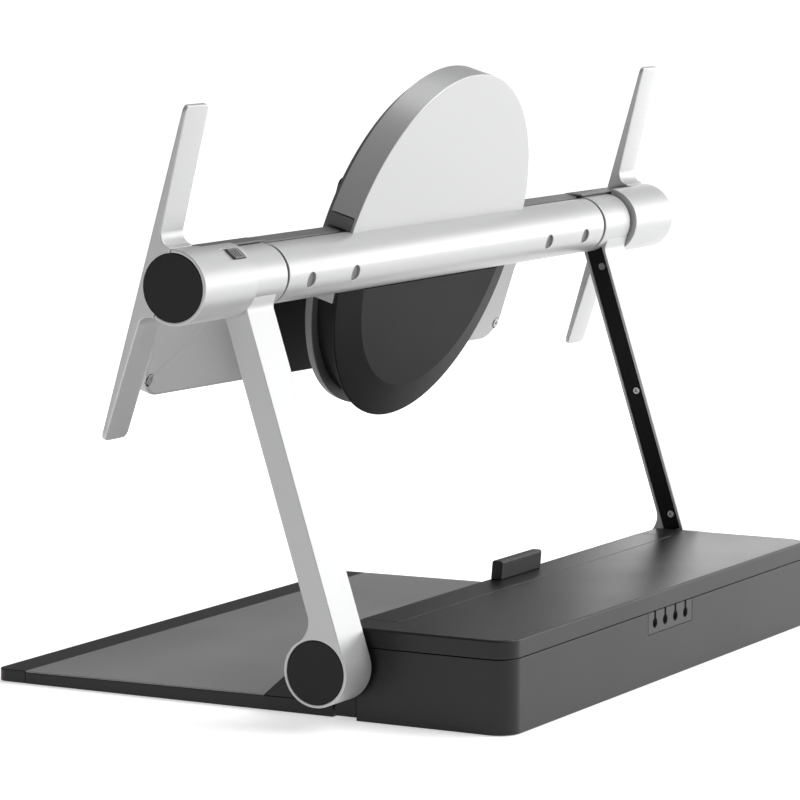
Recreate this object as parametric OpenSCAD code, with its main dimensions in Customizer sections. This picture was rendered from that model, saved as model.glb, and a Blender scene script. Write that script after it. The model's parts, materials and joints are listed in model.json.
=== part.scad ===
// Adjustable desk stand for a pen display: a weighted base with a cable bay and a
// front tray, two arms that lean about hubs beside the base, and a tilting head with
// a turning display mount and two release levers.
// Frame: +Z up, +Y to the rear, +X to the right of a person who sits in front (-Y).
// The origin is under the middle of the base, on the surface it stands on.

/* [Base] */
// Width of the box at the rear of the base
base_w = 506; // [440:1:560]
// Depth of the whole base, from the tray's front edge to the rear face
base_d = 417; // [380:1:460]
// Depth of the box
box_d = 131; // [120:0.5:150]
// Height of the seam between box and lid above the surface
seam_z = 52; // [48:0.5:60]
// Height of the lid above that seam
lid_h = 13.5; // [12:0.1:20]
// Wall of the box and the lid
box_wall = 3; // [2:0.1:4]
// Radius of the box's rear corners, seen from above
box_corner_r = 16; // [8:1:24]
// Width of the tray
tray_w = 497; // [430:1:550]
// Thickness of the tray at its front edge
tray_front_t = 9; // [8:0.1:12]
// Thickness of the tray where it meets the box
tray_rear_t = 11.6; // [9:0.1:14]
// Depth of the dark strip along the tray's front edge
strip_d = 25; // [10:1:30]
// Thickness of the soft mat on the tray
mat_t = 1.2; // [0.8:0.1:2]
// Length of the bumper on the box
bumper_l = 64; // [40:1:110]
// Height of the bumper above the lid
bumper_h = 14.2; // [8:0.1:20]

/* [Cable grommet] */
// Width of the grommet
grommet_w = 74.6; // [60:0.1:90]
// Height of the grommet below the seam
grommet_h = 16.2; // [14:0.1:20]
// Radius of each cable hole
cable_r = 3.7; // [2.5:0.1:5]
// Distance between cable holes
cable_pitch = 17.1; // [12:0.1:20]

/* [Arms] */
// Distance from the rear of the base to the hub axis
hub_from_rear = 127.4; // [110:0.1:135]
// Height of the hub axis
hub_z = 39.7; // [32:0.1:44]
// Radius of the hub
hub_r = 24.3; // [20:0.1:28]
// Width of an arm and its hub
arm_w = 35.4; // [28:0.1:44]
// Gap between the box's side and an arm
arm_gap = 4.2; // [2:0.1:8]
// Thickness of an arm, front to rear
arm_t = 18.2; // [14:0.1:22]
// Forward lean of the arm's rear edge
arm_lean = 17.7; // [10:0.1:25]
// Height of the head axis along the arm, from the hub axis
arm_l = 271.6; // [220:0.1:320]
// Wall of the arm shell
arm_wall = 2.4; // [1.8:0.1:3]
// Radius of the pivot shaft in the hub
pivot_r = 8; // [6:0.1:10]

/* [Head] */
// Rearward tilt of the display face
tilt = 16.5; // [5:0.5:30]
// Radius of the rear half of the cross beam
beam_r = 21.3; // [19:0.1:22]
// Radius of an arm's collar around the beam's shaft
collar_r = 21.7; // [20:0.1:23]
// Radius of the shaft that runs through the collars
shaft_r = 12; // [9:0.1:13]
// Radius of the end barrels
barrel_r = 25.65; // [25:0.05:28]
// Length of an end barrel
barrel_l = 67.5; // [60:0.5:80]
// Radius of the round head disc
disc_r = 132; // [110:1:140]
// Thickness of the head disc
disc_t = 6; // [4:0.1:8]
// Wall of the head covers
cover_wall = 2.5; // [1.8:0.1:3.5]
// Radius of the lower cover's flat back
flat_r = 105; // [80:1:115]

/* [Display mount] */
// Distance from the head axis forward to the back of the mount plate
mount_n = 56; // [50:0.5:64]
// Width of the mount plate
mount_w = 538; // [480:1:560]
// Distance from the head axis down to the plate's bottom edge
mount_drop = 112.5; // [90:0.5:120]
// Thickness of the plate
plate_t = 3; // [2:0.1:4]
// Depth of the plate's folded lip
lip_d = 12; // [8:0.1:14]
// Roll of the plate as it stands, right end up
mount_roll = 0.8; // [-3:0.1:3]
// Radius of the turning housing behind the plate
housing_r = 46; // [40:1:70]
// Radius of a display screw hole
display_hole_r = 2.1; // [1.6:0.1:3.2]
// Spacing of the display screw holes, across and down
display_hole_pitch = 75; // [70:0.5:100]
// Drop of the middle of the display screw holes below the head axis
display_hole_drop = 8; // [0:0.5:20]

/* [Levers] */
// Width of a release lever
lever_w = 28.4; // [24:0.1:32]
// Reach of the lever above the head axis
lever_up = 119; // [90:1:130]
// Reach of the lever below the head axis
lever_down = 117; // [90:1:130]
// Thickness of the lever at its root
lever_root_t = 7.2; // [5:0.1:9]
// Thickness of the lever at its tips
lever_tip_t = 3.2; // [2.4:0.1:5]
// Travel of a lever when it is pulled
lever_travel = 4; // [2:0.1:5]

/* [Clearances] */
// Gap between a turning face and its neighbour
run_gap = 0.5; // [0.3:0.05:1]
// Gap around a panel or cover that is fitted
fit_gap = 0.3; // [0.1:0.05:0.5]
// Radial clearance of a shaft in its bush
bush_gap = 0.06; // [0.02:0.01:0.1]

/* [Hidden] */
$fn = 96;
eps = 0.01;

// Levels and edges of the base
foot_z = 0.6;
foot_t = 2.2;
foot_r = 9;
ballast_in = 56;
base_rear = base_d / 2;
base_front = -base_d / 2;
box_front = base_rear - box_d;
box_front_r = 2;
tray_rear = box_front - 7.5;
lid_top = seam_z + lid_h;
floor_t = 4;
seam_gap = 0.5;
bracket_gap = 4.3;
tray_corner_r = 8;
bracket_t = 11;
bracket_y1 = box_front + 13;
notch_z = 2.2;
rail_w = base_w - 66;
rail_d = 28;
bumper_t = 8.6;
bumper_y = box_front + 1.2;
bumper_rake = 1.2;
cable_neck_w = 2.8;
cable_drop = 8.4;

ballast_h = 13;
bay_d = 62;

// Arm frame: hub centre, lean, and where the head axis lies in it
hub_y = base_rear - hub_from_rear;
arm_x0 = base_w / 2 + arm_gap;
arm_x1 = arm_x0 + arm_w;
arm_rear = hub_r;
arm_front = hub_r - arm_t;
axis_e = 15.5;
arm_fillet_r = 16;
cap_rim = 2.2;
elbow_e = 3;
elbow_turn = 48;
cap_t = 3;
inner_cover_t = 2.5;
cover_screw_z = [33, 134, 236];
cover_screw_e = (arm_rear + arm_front) / 2 + 2.4;
screw_r = 1.5;
screw_head_r = 2.8;
boss_r = 3.6;
bush_wall = 2;
hub_boss_r = pivot_r + 5;

// Head axis in the frame of the whole stand
head_y = hub_y - arm_l * sin(arm_lean) + axis_e * cos(arm_lean);
head_z = hub_z + arm_l * cos(arm_lean) + axis_e * sin(arm_lean);

// Stations along X and offsets from the head axis
collar_x0 = arm_x0 - 10;
collar_x1 = arm_x1 - 1.5;
seal_t = 2.4;
beam_x1 = collar_x0 - seal_t - 2 * fit_gap;
barrel_x0 = arm_x1 + 1.5;
barrel_x1 = barrel_x0 + barrel_l;
lever_x1 = barrel_x1;
lever_x0 = lever_x1 - lever_w;
split_n = -8.4;
groove_n = -4.2;
groove_u = 16.7;
strip_n = -5;
strip_u = 23.4;
front_n = -barrel_r;
rail_n = -19.4;
rail_u = 20;
disc_n1 = -21;
disc_n0 = disc_n1 - disc_t;
mid_x = disc_r + 4;
core_r = 18;
end_cap_t = 3.2;
end_cap_r = barrel_r - 2.8;
rim_gap_u = 31.3;
saddle_u = -34;
saddle_x0 = disc_r - 17;
saddle_x1 = disc_r - 6;
saddle_n1 = -4;
cover_n1 = 1.2;
rim_t = 3;
bevel_n = 6;
lip_n = 2;
gap_r = disc_r - 10;
beam_screw_x = [151, 213];
plug_r = 5.6;
pin_r = 2.5;
pin_u = 9;
pin_n = -core_r - 2.5;
pin_x = lever_x0 + 10;
spring_r = 4.2;
slider_x0 = barrel_x0 + 5;
slider_l = 13;
slider_w = 10;
slider_t = 2.4;
slider_travel = 8;
slider_angle = 68;
housing_n1 = disc_n0 - 1;
spindle_r = 20;
centre_w = 224;
wing_corner_r = 24;
ear_w = 14;
ear_u = -46;
plate_top = -9;
tab_w = display_hole_pitch + 9;
tab_top = display_hole_pitch / 2 - display_hole_drop + 4.5;
tab_corner_r = 5;
wing_screw_in = 7.5;
wing_screw_u = 13 - mount_drop;

// ---- helpers ----

module x_cyl(r, x0, x1) {
    translate([x0, 0, 0]) rotate([0, 90, 0]) cylinder(r = r, h = x1 - x0);
}

module y_cyl(r, y0, y1) {
    translate([0, y0, 0]) rotate([-90, 0, 0]) cylinder(r = r, h = y1 - y0);
}

module x_block(x0, x1, y0, y1, z0, z1) {
    translate([x0, y0, z0]) cube([x1 - x0, y1 - y0, z1 - z0]);
}

// An outline in the Y-Z plane, extruded along X from x0 to x1
module x_extrude(x0, x1) {
    translate([x0, 0, 0]) rotate([90, 0, 90]) linear_extrude(height = x1 - x0) children();
}

// The frame of an arm: origin on the hub axis, local Y to the rear, local Z up the arm
module in_arm() {
    translate([0, hub_y, hub_z]) rotate([arm_lean, 0, 0]) children();
}

// The frame of the head: origin on the head axis, local Y to the rear, local Z up the display
module in_head() {
    translate([0, head_y, head_z]) rotate([-tilt, 0, 0]) children();
}

module in_mount() {
    in_head() rotate([0, -mount_roll, 0]) children();
}

module mirrored(left) {
    if (left) mirror([1, 0, 0]) children();
    else children();
}

// ---- base ----

function tray_top(y) = foot_z + tray_front_t
    + (tray_rear_t - tray_front_t) * (y - base_front) / (tray_rear - base_front);

module tray_profile(y0, y1, drop) {
    polygon([[y0, foot_z], [y1, foot_z], [y1, tray_top(y1) - drop], [y0, tray_top(y0) - drop]]);
}

module tray_plate() {
    color([0.13, 0.13, 0.13])
        difference() {
            x_extrude(-tray_w / 2, tray_w / 2)
                tray_profile(base_front + strip_d, tray_rear, mat_t);
            foot_pockets();
            floor_pocket(fit_gap);
        }
}

module tray_front_strip() {
    x1 = tray_w / 2;
    y1 = base_front + strip_d - fit_gap;
    color([0.2, 0.2, 0.2])
        intersection() {
            x_extrude(-x1, x1) tray_profile(base_front, y1, 0);
            linear_extrude(height = seam_z) union() {
                translate([-x1, base_front + tray_corner_r]) square([2 * x1, strip_d]);
                translate([-x1 + tray_corner_r, base_front])
                    square([2 * (x1 - tray_corner_r), strip_d]);
                for (s = [-1, 1])
                    translate([s * (x1 - tray_corner_r), base_front + tray_corner_r])
                        circle(r = tray_corner_r);
            }
        }
}

module tray_mat() {
    y0 = base_front + strip_d;
    y1 = tray_rear;
    x1 = tray_w / 2 - fit_gap;
    color([0.45, 0.45, 0.45])
        difference() {
            x_extrude(-x1, x1)
                polygon([[y0, tray_top(y0) - mat_t], [y1, tray_top(y1) - mat_t],
                    [y1, tray_top(y1)], [y0, tray_top(y0)]]);
            for (left = [false, true])
                mirrored(left) hinge_ramp_body(fit_gap);
        }
}

module floor_pocket(gap) {
    x_block(-base_w / 2 + 40 - gap, base_w / 2 - 40 + gap, base_front + 40 - gap,
        base_rear - 30 + gap, foot_z - eps, foot_z + 2.4 + gap);
}

module floor_plate() {
    color([0.5, 0.5, 0.52])
        difference() {
            x_block(-base_w / 2 + 40, base_w / 2 - 40, base_front + 40, base_rear - 30,
                foot_z + fit_gap, foot_z + 2.4);
            for (x = [-1, 1], y = [base_front + 80, base_rear - 60])
                translate([x * base_w / 4, y, -1]) cylinder(r = 2.2, h = 12);
        }
}

module foot_places() {
    for (x = [-1, 1]) {
        for (y = [base_front + strip_d + foot_r + 3, box_front - 30])
            translate([x * (tray_w / 2 - 17.5), y, 0]) children();
        translate([x * (base_w / 2 - 22), base_rear - 14, 0]) children();
    }
}

module foot_pockets() {
    foot_places() translate([0, 0, -1]) cylinder(r = foot_r + fit_gap, h = foot_t + 1 + fit_gap / 3);
}

module rubber_feet() {
    color([0.06, 0.06, 0.06])
        foot_places() cylinder(r = foot_r, h = foot_t);
}

module box_outline(inset) {
    w = base_w / 2 - inset;
    y0 = box_front + inset;
    y1 = base_rear - inset;
    rr = box_corner_r - inset;
    rf = max(box_front_r - inset, 1);
    translate([-w, y0 + rf]) square([2 * w, y1 - y0 - rf - rr]);
    translate([-w + rf, y0]) square([2 * (w - rf), y1 - y0 - rr]);
    translate([-w + rr, y0 + rf]) square([2 * (w - rr), y1 - y0 - rf]);
    for (s = [-1, 1]) {
        translate([s * (w - rf), y0 + rf]) circle(r = rf);
        translate([s * (w - rr), y1 - rr]) circle(r = rr);
    }
}

// The box's front corner, left open for the hinge bracket
module bracket_notch() {
    x_block(base_w / 2 - bracket_t - fit_gap, base_w, box_front - 1, bracket_y1 + fit_gap, -1,
        lid_top);
}

module box_shell() {
    color([0.16, 0.16, 0.16])
        difference() {
            translate([0, 0, foot_z]) linear_extrude(height = seam_z - foot_z) box_outline(0);
            translate([0, 0, foot_z + floor_t])
                linear_extrude(height = seam_z) box_outline(box_wall);
            for (left = [false, true])
                mirrored(left) bracket_notch();
            foot_pockets();
            floor_pocket(fit_gap);
            translate([0, base_rear, seam_z]) grommet_cut();
        }
}

module ballast_block() {
    color([0.3, 0.3, 0.31])
        x_block(-base_w / 2 + ballast_in, base_w / 2 - ballast_in, box_front + box_wall + 4,
            base_rear - bay_d - 8, foot_z + floor_t, foot_z + floor_t + ballast_h);
}

module front_rail() {
    color([0.17, 0.17, 0.17])
        difference() {
            x_block(-rail_w / 2, rail_w / 2, box_front, box_front + rail_d, seam_z, lid_top);
            x_block(-rail_w / 2 + 6, rail_w / 2 - 6, box_front + box_wall,
                box_front + rail_d - box_wall, seam_z - 1, lid_top - box_wall);
        }
}

module bumper() {
    y1 = bumper_y + bumper_t;
    color([0.08, 0.08, 0.08])
        x_extrude(-bumper_l / 2, bumper_l / 2)
            polygon([[bumper_y, lid_top], [y1, lid_top], [y1 + bumper_rake, lid_top + bumper_h - 1.2],
                [y1 + bumper_rake - 1.2, lid_top + bumper_h],
                [bumper_y + bumper_rake + 1, lid_top + bumper_h],
                [bumper_y + bumper_rake, lid_top + bumper_h - 1]]);
}

module grommet_cut() {
    x_block(-grommet_w / 2, grommet_w / 2, -box_wall - 1, 1, -grommet_h, 1);
}

module cable_grommet() {
    w = grommet_w / 2 - fit_gap;
    color([0.24, 0.24, 0.24])
        translate([0, base_rear, seam_z])
            difference() {
                union() {
                    x_block(-w, w, -box_wall, 0, -grommet_h + fit_gap, 0);
                    x_block(-w - 1.5, w + 1.5, -box_wall - 1.5, -box_wall, -grommet_h - 1.5, 0);
                }
                for (i = [-1.5, -0.5, 0.5, 1.5])
                    translate([i * cable_pitch, 0, -cable_drop]) {
                        y_cyl(cable_r, -box_wall - 3, 2);
                        x_block(-cable_neck_w / 2, cable_neck_w / 2, -box_wall - 3, 2, 0,
                            cable_drop + 1);
                    }
            }
}

module hinge_bracket(left) {
    x1 = base_w / 2;
    x0 = x1 - bracket_t;
    y0 = tray_rear + bracket_gap;
    mirrored(left)
        color([0.16, 0.16, 0.16])
            difference() {
                union() {
                    x_block(x0, x1, y0, bracket_y1, foot_z + notch_z, hub_z);
                    translate([0, hub_y, hub_z]) x_cyl(bracket_y1 - hub_y, x0, x1);
                    x_block(x0 - 40, x0 + 2, box_front + box_wall + 1, bracket_y1 + 10,
                        foot_z + floor_t, foot_z + floor_t + 5);
                    x_block(x0 - 6, x0 + 2, box_front + box_wall + 1, bracket_y1 + 10,
                        foot_z + floor_t, hub_z - pivot_r - 5);
                }
                translate([0, hub_y, hub_z]) x_cyl(pivot_r, x0 - 1, x1 + 1);
                x_block(x0 - 9, x1, bracket_y1, bracket_y1 + 12, hub_z, seam_z);
            }
}

module pivot_shaft(left) {
    x0 = base_w / 2 - bracket_t;
    mirrored(left)
        color([0.6, 0.6, 0.62])
            translate([0, hub_y, hub_z])
                x_cyl(pivot_r, x0, arm_x1 - cap_t - 6);
}

module friction_discs(left) {
    mirrored(left)
        color([0.55, 0.5, 0.4])
            translate([0, hub_y, hub_z])
                for (i = [0:3])
                    difference() {
                        x_cyl(hub_boss_r + 3, arm_x1 - cap_t - 10.5 + i * 1.1,
                            arm_x1 - cap_t - 9.5 + i * 1.1);
                        x_cyl(pivot_r, arm_x0, arm_x1);
                    }
}

module hinge_ramp_body(gap) {
    x1 = tray_w / 2;
    y1 = tray_rear;
    ramp_y = hub_y - 66;
    z0 = tray_top(ramp_y) - mat_t;
    x_extrude(x1 - 20 - gap, x1 + gap)
        polygon([[ramp_y - gap, z0 - gap], [y1 + gap, tray_top(y1) - mat_t - gap],
            [y1 + gap, hub_z + 6 + gap], [ramp_y + 34 - gap, hub_z + 2 + gap],
            [ramp_y - gap, z0 + mat_t]]);
}

module hinge_ramp(left) {
    mirrored(left) color([0.12, 0.12, 0.12]) hinge_ramp_body(0);
}

module lid() {
    color([0.19, 0.19, 0.19])
        difference() {
            translate([0, 0, seam_z + seam_gap])
                linear_extrude(height = lid_h - seam_gap) box_outline(0);
            translate([0, 0, seam_z - 1])
                linear_extrude(height = lid_h + 1 - box_wall) box_outline(box_wall);
            x_block(-rail_w / 2 - fit_gap, rail_w / 2 + fit_gap, box_front - 1,
                box_front + rail_d + fit_gap, seam_z - 1, lid_top + 1);
        }
}

// ---- arms ----

module fillet_web() {
    cz = sqrt(pow(hub_r + arm_fillet_r, 2) - pow(arm_front - arm_fillet_r, 2));
    difference() {
        polygon([[0, 0], [arm_front + 1, 0], [arm_front + 1, cz], [arm_front - arm_fillet_r, cz]]);
        translate([arm_front - arm_fillet_r, cz]) circle(r = arm_fillet_r);
    }
}

module arm_profile() {
    circle(r = hub_r);
    translate([arm_front, 0]) square([arm_t, arm_l - shaft_r]);
    fillet_web();
    polygon([[axis_e, arm_l], [arm_front, arm_l - shaft_r], [arm_front, arm_l - 25],
        [arm_rear, arm_l - 25], [arm_rear + elbow_e, arm_l - 25 + elbow_e / 2 + 1],
        [axis_e + collar_r * cos(elbow_turn), arm_l - collar_r * sin(elbow_turn)]]);
}

module arm_cavity(gap) {
    translate([arm_front + arm_wall + gap, hub_r - 4 + gap])
        square([arm_t - 2 * arm_wall - 2 * gap, arm_l - hub_r - collar_r + 10 - 2 * gap]);
}

module arm_shell(left) {
    mirrored(left)
        color([0.86, 0.86, 0.87])
            in_arm()
                difference() {
                    union() {
                        x_extrude(arm_x0, arm_x1) arm_profile();
                        translate([0, axis_e, arm_l]) x_cyl(collar_r, collar_x0, collar_x1);
                    }
                    translate([0, axis_e, arm_l]) x_cyl(collar_r + 4, collar_x1, arm_x1 + 1);
                    difference() {
                        x_extrude(arm_x0 - 1, arm_x1 - arm_wall) arm_cavity(0);
                        for (z = cover_screw_z)
                            translate([0, cover_screw_e, z])
                                x_cyl(boss_r, arm_x0 + inner_cover_t + 2 * fit_gap, arm_x1);
                    }
                    for (z = cover_screw_z)
                        translate([0, cover_screw_e, z])
                            x_cyl(screw_r, arm_x0, arm_x0 + 16);
                    x_cyl(pivot_r + bush_wall, arm_x0 - 1, arm_x1 - cap_t - 12);
                    x_cyl(hub_boss_r + 4, arm_x1 - cap_t - 12, arm_x1 - cap_t);
                    x_cyl(hub_r - cap_rim, arm_x1 - cap_t, arm_x1 + 1);
                    translate([0, axis_e, arm_l]) x_cyl(shaft_r + bush_wall, collar_x0 - 1, arm_x1);
                }
}

module arm_inner_cover(left) {
    mirrored(left)
        color([0.05, 0.05, 0.05])
            in_arm()
                difference() {
                    x_extrude(arm_x0 + 0.6, arm_x0 + 0.6 + inner_cover_t) arm_cavity(fit_gap);
                    for (z = cover_screw_z)
                        translate([0, cover_screw_e, z]) {
                            x_cyl(screw_r + 0.2, arm_x0 - 1, arm_x0 + 8);
                            x_cyl(screw_head_r + 0.3, arm_x0 - 1, arm_x0 + 2.1);
                        }
                }
}

module arm_cover_screws() {
    color([0.1, 0.1, 0.1])
        for (left = [false, true])
            mirrored(left)
                in_arm()
                    for (z = cover_screw_z)
                        translate([0, cover_screw_e, z])
                            difference() {
                                union() {
                                    x_cyl(screw_head_r, arm_x0 + 0.3, arm_x0 + 2.1);
                                    x_cyl(screw_r, arm_x0 + 2.1, arm_x0 + 12);
                                }
                                x_cyl(1.1, arm_x0 - 1, arm_x0 + 1.4);
                            }
}

module hub_cap(left) {
    mirrored(left)
        color([0.15, 0.15, 0.15])
            in_arm()
                x_cyl(hub_r - cap_rim - fit_gap, arm_x1 - cap_t, arm_x1 - 0.2);
}

module pivot_bush(left) {
    mirrored(left)
        color([0.7, 0.58, 0.35])
            in_arm()
                difference() {
                    x_cyl(pivot_r + bush_wall, arm_x0 + 0.5, arm_x1 - cap_t - 12);
                    x_cyl(pivot_r + bush_gap, arm_x0 - 1, arm_x1);
                }
}

module collar_bush(left) {
    mirrored(left)
        color([0.7, 0.58, 0.35])
            in_arm()
                translate([0, axis_e, arm_l])
                    difference() {
                        x_cyl(shaft_r + bush_wall, collar_x0, collar_x1);
                        x_cyl(shaft_r + bush_gap, collar_x0 - 1, arm_x1 + 1);
                    }
}

// ---- head ----

module seal_ring(left) {
    mirrored(left)
        color([0.08, 0.08, 0.08])
            in_head()
                difference() {
                    x_cyl(collar_r - 1.6, beam_x1, beam_x1 + seal_t);
                    x_cyl(shaft_r, beam_x1 - 1, beam_x1 + seal_t + 1);
                    x_block(beam_x1 - 1, beam_x1 + 4, -40, split_n - fit_gap, -40, 40);
                }
}

module cross_beam() {
    color([0.88, 0.88, 0.89])
        in_head()
            difference() {
                x_cyl(beam_r, -beam_x1, beam_x1);
                x_block(-beam_x1 - 1, beam_x1 + 1, -beam_r - 1, split_n, -beam_r - 1, beam_r + 1);
                x_block(-beam_x1 - 1, beam_x1 + 1, split_n - 1, groove_n, groove_u, beam_r + 1);
                x_block(-beam_x1 - 1, beam_x1 + 1, split_n - 1, groove_n, -beam_r - 1, 1 - beam_r);
                x_cyl(shaft_r, -beam_x1 - 1, beam_x1 + 1);
                for (x = beam_screw_x, s = [-1, 1])
                    translate([s * x, 0, 0]) y_cyl(plug_r, beam_r - 4, beam_r + 1);
            }
}

module beam_plugs() {
    color([0.42, 0.42, 0.42])
        in_head()
            for (x = beam_screw_x, s = [-1, 1])
                translate([s * x, 0, 0]) y_cyl(plug_r - 0.15, beam_r - 4, beam_r - 1.8);
}

module tilt_shaft() {
    color([0.6, 0.6, 0.62])
        in_head()
            x_cyl(shaft_r, -lever_x0 + 2, lever_x0 - 2);
}

module rail_profile() {
    polygon([[strip_n, strip_u], [rail_n, rail_u], [front_n, rail_u - 5], [front_n, 5 - rail_u],
        [rail_n, -rail_u], [strip_n, -rail_u]]);
}

module yoke_rail() {
    rail_x1 = lever_x0 - 2.6;
    color([0.8, 0.8, 0.81])
        in_head()
            difference() {
                union() {
                    x_block(-mid_x, mid_x, disc_n1, split_n, -rail_u, rail_u);
                    for (left = [false, true])
                        mirrored(left) {
                            x_block(mid_x, beam_x1, rail_n, split_n, -rail_u, rail_u);
                            x_block(mid_x, beam_x1, front_n, rail_n, 5 - rail_u, rail_u - 5);
                            x_extrude(beam_x1, rail_x1) rail_profile();
                        }
                }
                x_cyl(shaft_r, -beam_x1 - 1, beam_x1 + 1);
                for (left = [false, true])
                    mirrored(left) x_cyl(collar_r + run_gap, beam_x1, rail_x1 + 1);
            }
}

module barrel(left) {
    mirrored(left)
        color([0.88, 0.88, 0.89])
            in_head()
                difference() {
                    union() {
                        difference() {
                            x_cyl(barrel_r, barrel_x0, barrel_x1);
                            x_block(barrel_x0 - 1, barrel_x1 + 1, -barrel_r - 1, split_n,
                                -barrel_r - 1, barrel_r + 1);
                            x_block(barrel_x0 - 1, lever_x0 - 2, -barrel_r - 1, strip_n + 1,
                                -barrel_r - 1, barrel_r + 1);
                        }
                        x_cyl(core_r, barrel_x0, barrel_x1 - end_cap_t - 1);
                    }
                    x_cyl(shaft_r, barrel_x0 - 1, lever_x0 - 2);
                    x_cyl(end_cap_r + fit_gap, barrel_x1 - end_cap_t, barrel_x1 + 1);
                    for (s = [-1, 1])
                        translate([pin_x, 0, s * pin_u]) {
                            y_cyl(pin_r + 0.1, -barrel_r, 6);
                            y_cyl(spring_r + 0.3, split_n, 6);
                        }
                    if (!left) slider_pocket();
                }
}

module slider_pocket() {
    rotate([slider_angle, 0, 0])
        x_block(slider_x0, slider_x0 + slider_l + slider_travel + 2 * fit_gap,
            barrel_r - slider_t, barrel_r + 2, -slider_w / 2 - fit_gap, slider_w / 2 + fit_gap);
}

module lock_slider() {
    color([0.5, 0.5, 0.5])
        in_head()
            rotate([slider_angle, 0, 0])
                difference() {
                    x_block(slider_x0 + fit_gap, slider_x0 + slider_l, barrel_r - slider_t + fit_gap,
                        barrel_r - 0.4, -slider_w / 2, slider_w / 2);
                    for (i = [0:3])
                        x_block(slider_x0 + 4 + 3 * i, slider_x0 + 5 + 3 * i, barrel_r - 1, barrel_r,
                            -slider_w / 2 + 1.5, slider_w / 2 - 1.5);
                }
}

module end_cap(left) {
    mirrored(left)
        color([0.15, 0.15, 0.15])
            in_head()
                x_cyl(end_cap_r, barrel_x1 - end_cap_t, barrel_x1 - 0.3);
}

module head_disc() {
    color([0.5, 0.5, 0.51])
        in_head()
            difference() {
                y_cyl(disc_r - 3, disc_n0, disc_n1);
                difference() {
                    x_block(-200, 200, disc_n0 - 1, disc_n1 + 1, 0, 200);
                    y_cyl(disc_r - 5, disc_n0 - 2, disc_n1 + 2);
                }
                y_cyl(spindle_r - 6, disc_n0 - 1, disc_n1 + 1);
            }
}

module upper_cover() {
    color([0.88, 0.88, 0.89])
        in_head()
            difference() {
                y_cyl(disc_r + 2, disc_n1, cover_n1);
                y_cyl(disc_r + 2 - rim_t, disc_n1 - 1, cover_n1 - cover_wall);
                x_block(-200, 200, disc_n1 - 1, cover_n1 + 1, -200, beam_r + fit_gap);
                x_block(-200, 200, disc_n1 - 1, -1.5, 0, rim_gap_u);
            }
}

// A length of the head's rim between two heights along the display
module rim_arc(u0, u1, n0, n1) {
    intersection() {
        difference() {
            y_cyl(disc_r + 2, n0, n1);
            y_cyl(disc_r + 2 - rim_t, n0 - 1, n1 + 1);
        }
        x_block(40, 200, n0 - 1, n1 + 1, u0, u1);
    }
}

module rim_block(left) {
    mirrored(left)
        color([0.5, 0.5, 0.5])
            in_head() rim_arc(beam_r + fit_gap, rim_gap_u - 0.8, disc_n1, -1.5 - fit_gap);
}

module saddle(left) {
    mirrored(left)
        color([0.75, 0.75, 0.76])
            in_head()
                x_block(saddle_x0, saddle_x1, disc_n1, saddle_n1, saddle_u, -beam_r);
}

module lower_cover() {
    color([0.1, 0.1, 0.1])
        in_head()
            difference() {
                rotate([-90, 0, 0])
                    rotate_extrude()
                        polygon([[0, bevel_n], [flat_r, bevel_n], [disc_r - 1, 0],
                            [disc_r - 1, -lip_n], [gap_r, -lip_n], [gap_r, disc_n1],
                            [gap_r - cover_wall, disc_n1], [gap_r - cover_wall, -lip_n],
                            [flat_r, bevel_n - cover_wall], [0, bevel_n - cover_wall]]);
                x_block(-200, 200, disc_n1 - 1, bevel_n + 1, -beam_r - fit_gap, 200);
                for (left = [false, true])
                    mirrored(left)
                        x_block(saddle_x0 - fit_gap, saddle_x1 + fit_gap, disc_n1 - 1,
                            saddle_n1 + fit_gap, saddle_u - fit_gap, 0);
            }
}

module turn_spindle() {
    color([0.6, 0.6, 0.62])
        in_head()
            difference() {
                y_cyl(spindle_r, -mount_n + 3, disc_n0);
                y_cyl(spindle_r - 6, -mount_n + 2, disc_n0 + 1);
            }
}

module lever_springs() {
    color([0.65, 0.65, 0.66])
        in_head()
            for (left = [false, true])
                mirrored(left)
                    for (s = [-1, 1])
                        translate([pin_x, 0, s * pin_u])
                            difference() {
                                y_cyl(spring_r, split_n + 0.1, split_n + 4);
                                y_cyl(pin_r + 0.4, split_n - 1, split_n + 6);
                            }
}

// ---- display mount ----

module turn_housing() {
    color([0.07, 0.07, 0.07])
        in_mount()
            difference() {
                y_cyl(housing_r, -mount_n, housing_n1);
                y_cyl(spindle_r + bush_gap, -mount_n + 2, housing_n1 + 1);
            }
}

module wing_outline() {
    w = mount_w / 2;
    x0 = centre_w / 2;
    difference() {
        union() {
            translate([x0, -mount_drop]) square([w - x0 - wing_corner_r, mount_drop + plate_top]);
            translate([x0, -mount_drop + wing_corner_r])
                square([w - x0, mount_drop + plate_top - wing_corner_r]);
            translate([w - wing_corner_r, -mount_drop + wing_corner_r]) circle(r = wing_corner_r);
            translate([x0, ear_u]) square([w + ear_w - x0, plate_top - ear_u]);
            translate([w - 1, ear_u - 8]) square([9, 9]);
        }
        translate([w + 8, ear_u - 8]) circle(r = 8);
    }
}

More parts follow.
